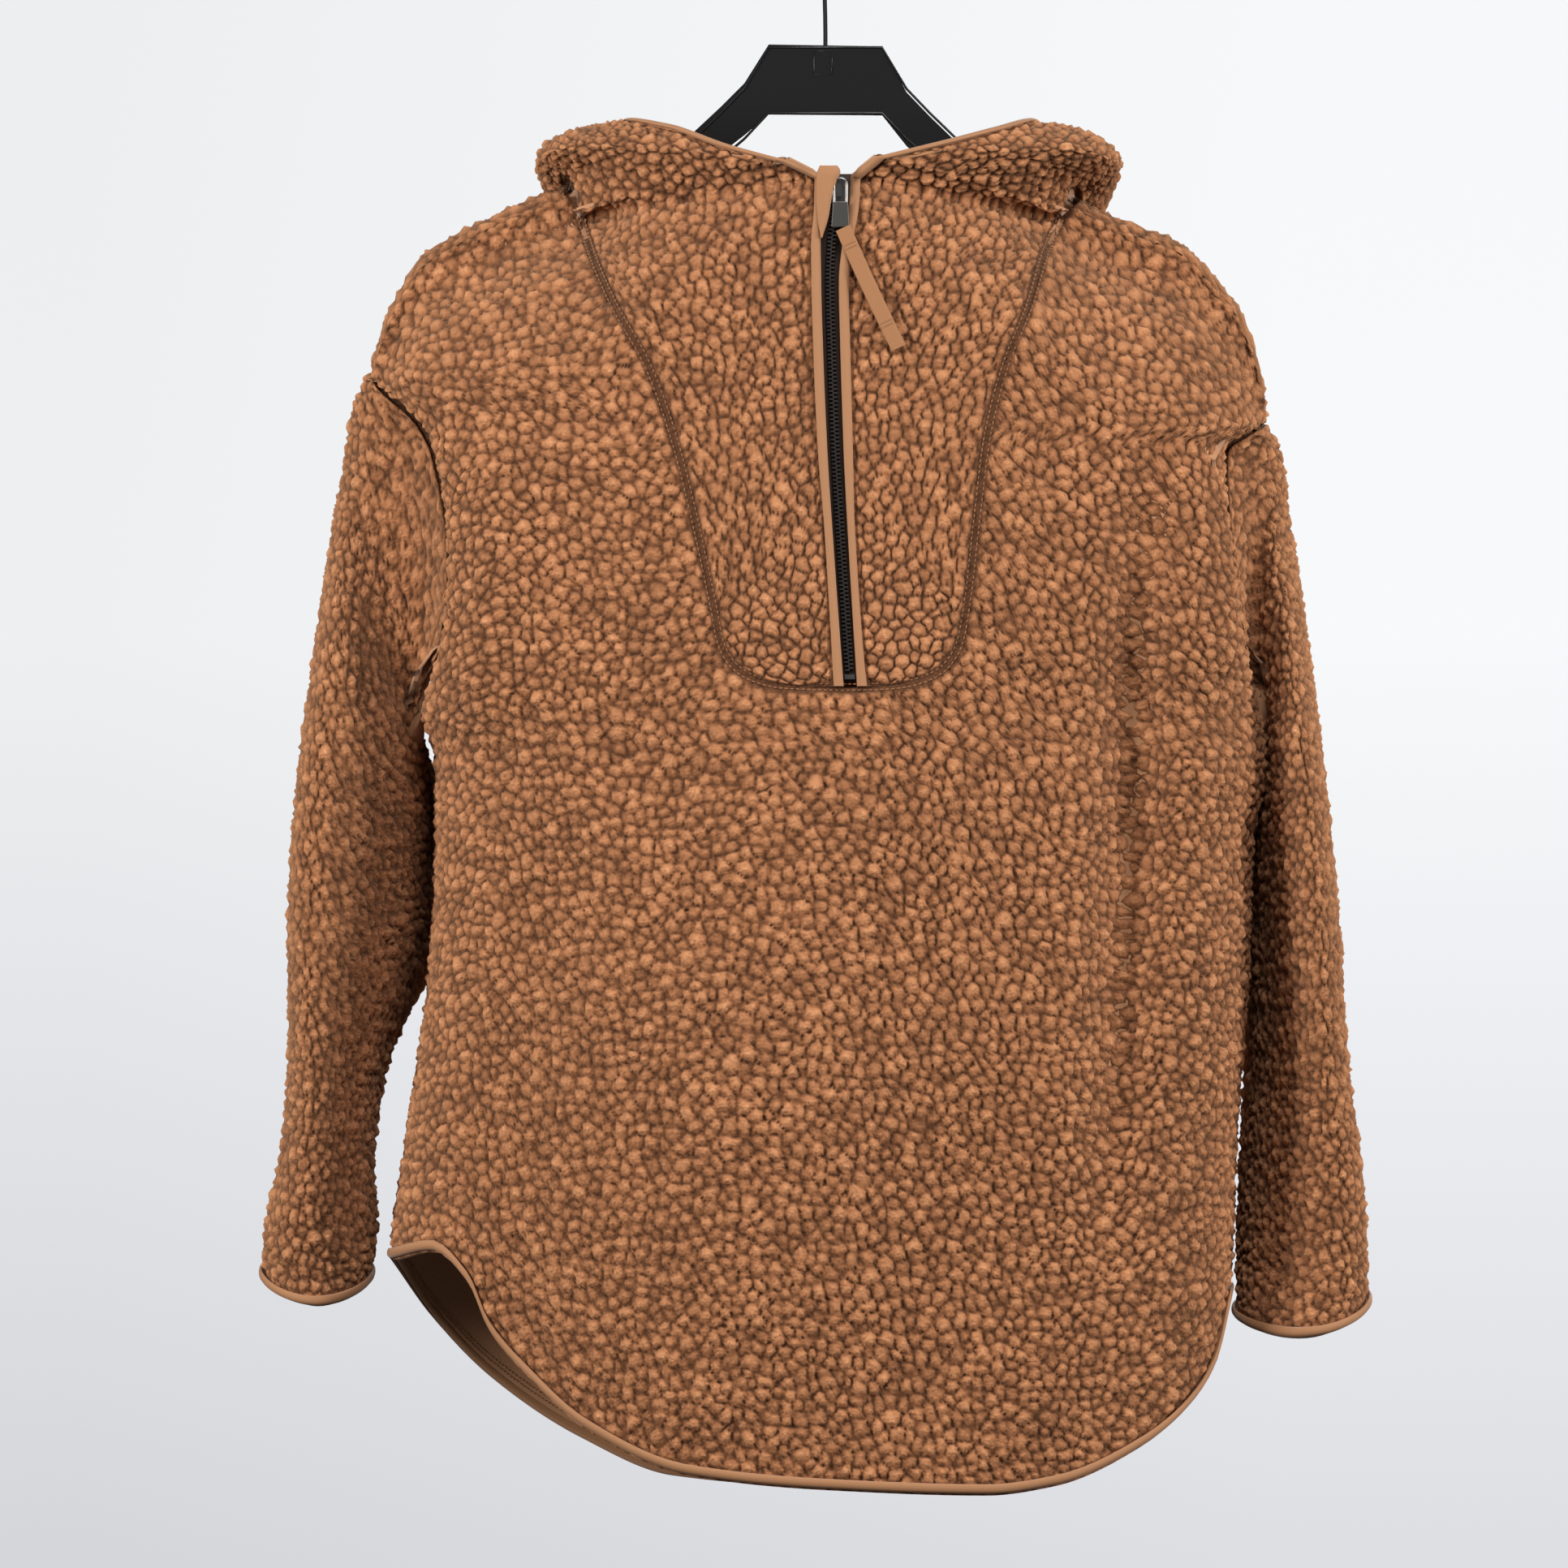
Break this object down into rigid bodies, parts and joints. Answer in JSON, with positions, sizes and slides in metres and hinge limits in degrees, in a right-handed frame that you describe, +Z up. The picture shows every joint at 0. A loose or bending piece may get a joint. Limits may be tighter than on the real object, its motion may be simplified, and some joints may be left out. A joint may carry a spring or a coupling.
{
  "type": "sherpa fleece half-zip hooded pullover on a hanger",
  "caption": "Loose hooded pullover in curly sherpa fleece with a bib-front half zip, bound edges and a curved hem, hanging open from a plain hanger by its hook.",
  "frame": {"origin": "inside top of the hanger's hook, where a rail carries it", "axes": "+Z up, -Y the way the front faces, +X to the right in the front view"},
  "size_m": [0.6169, 0.2506, 0.8807],
  "materials": {
    "fleece": "matte curly pile",
    "binding": "smooth woven, faint sheen",
    "zip_tape": "matte woven",
    "zip_metal": "dark polished",
    "ribbon": "ribbed weave",
    "hanger_plastic": "semi-gloss",
    "hook_wire": "satin"
  },
  "bodies": {
    "garment": {"front_body": "fleece", "back_body": "fleece", "sleeve_left": "fleece", "sleeve_right": "fleece", "hood_left": "fleece", "hood_right": "fleece", "edge_binding_left": "binding", "edge_binding_right": "binding", "hem_binding_front": "binding", "hem_binding_back": "binding", "cuff_binding_left": "binding", "cuff_binding_right": "binding", "zip_garage": "binding", "zip_tape_left": "zip_tape", "zip_tape_right": "zip_tape", "zip_chain": "zip_metal", "zip_stop": "zip_metal", "zip_slider": "zip_metal", "hanger": "hanger_plastic", "hook": "hook_wire"},
    "pull": {"zip_pull": "zip_metal", "pull_ribbon": "ribbon"}
  },
  "joints": [
    {"name": "pull_swing", "type": "hinge", "parent": "garment", "child": "pull", "pos_m": [0.00734, -0.07316, -0.156], "axis": [-1, 0, 0], "range_deg": [0, 150]}
  ]
}
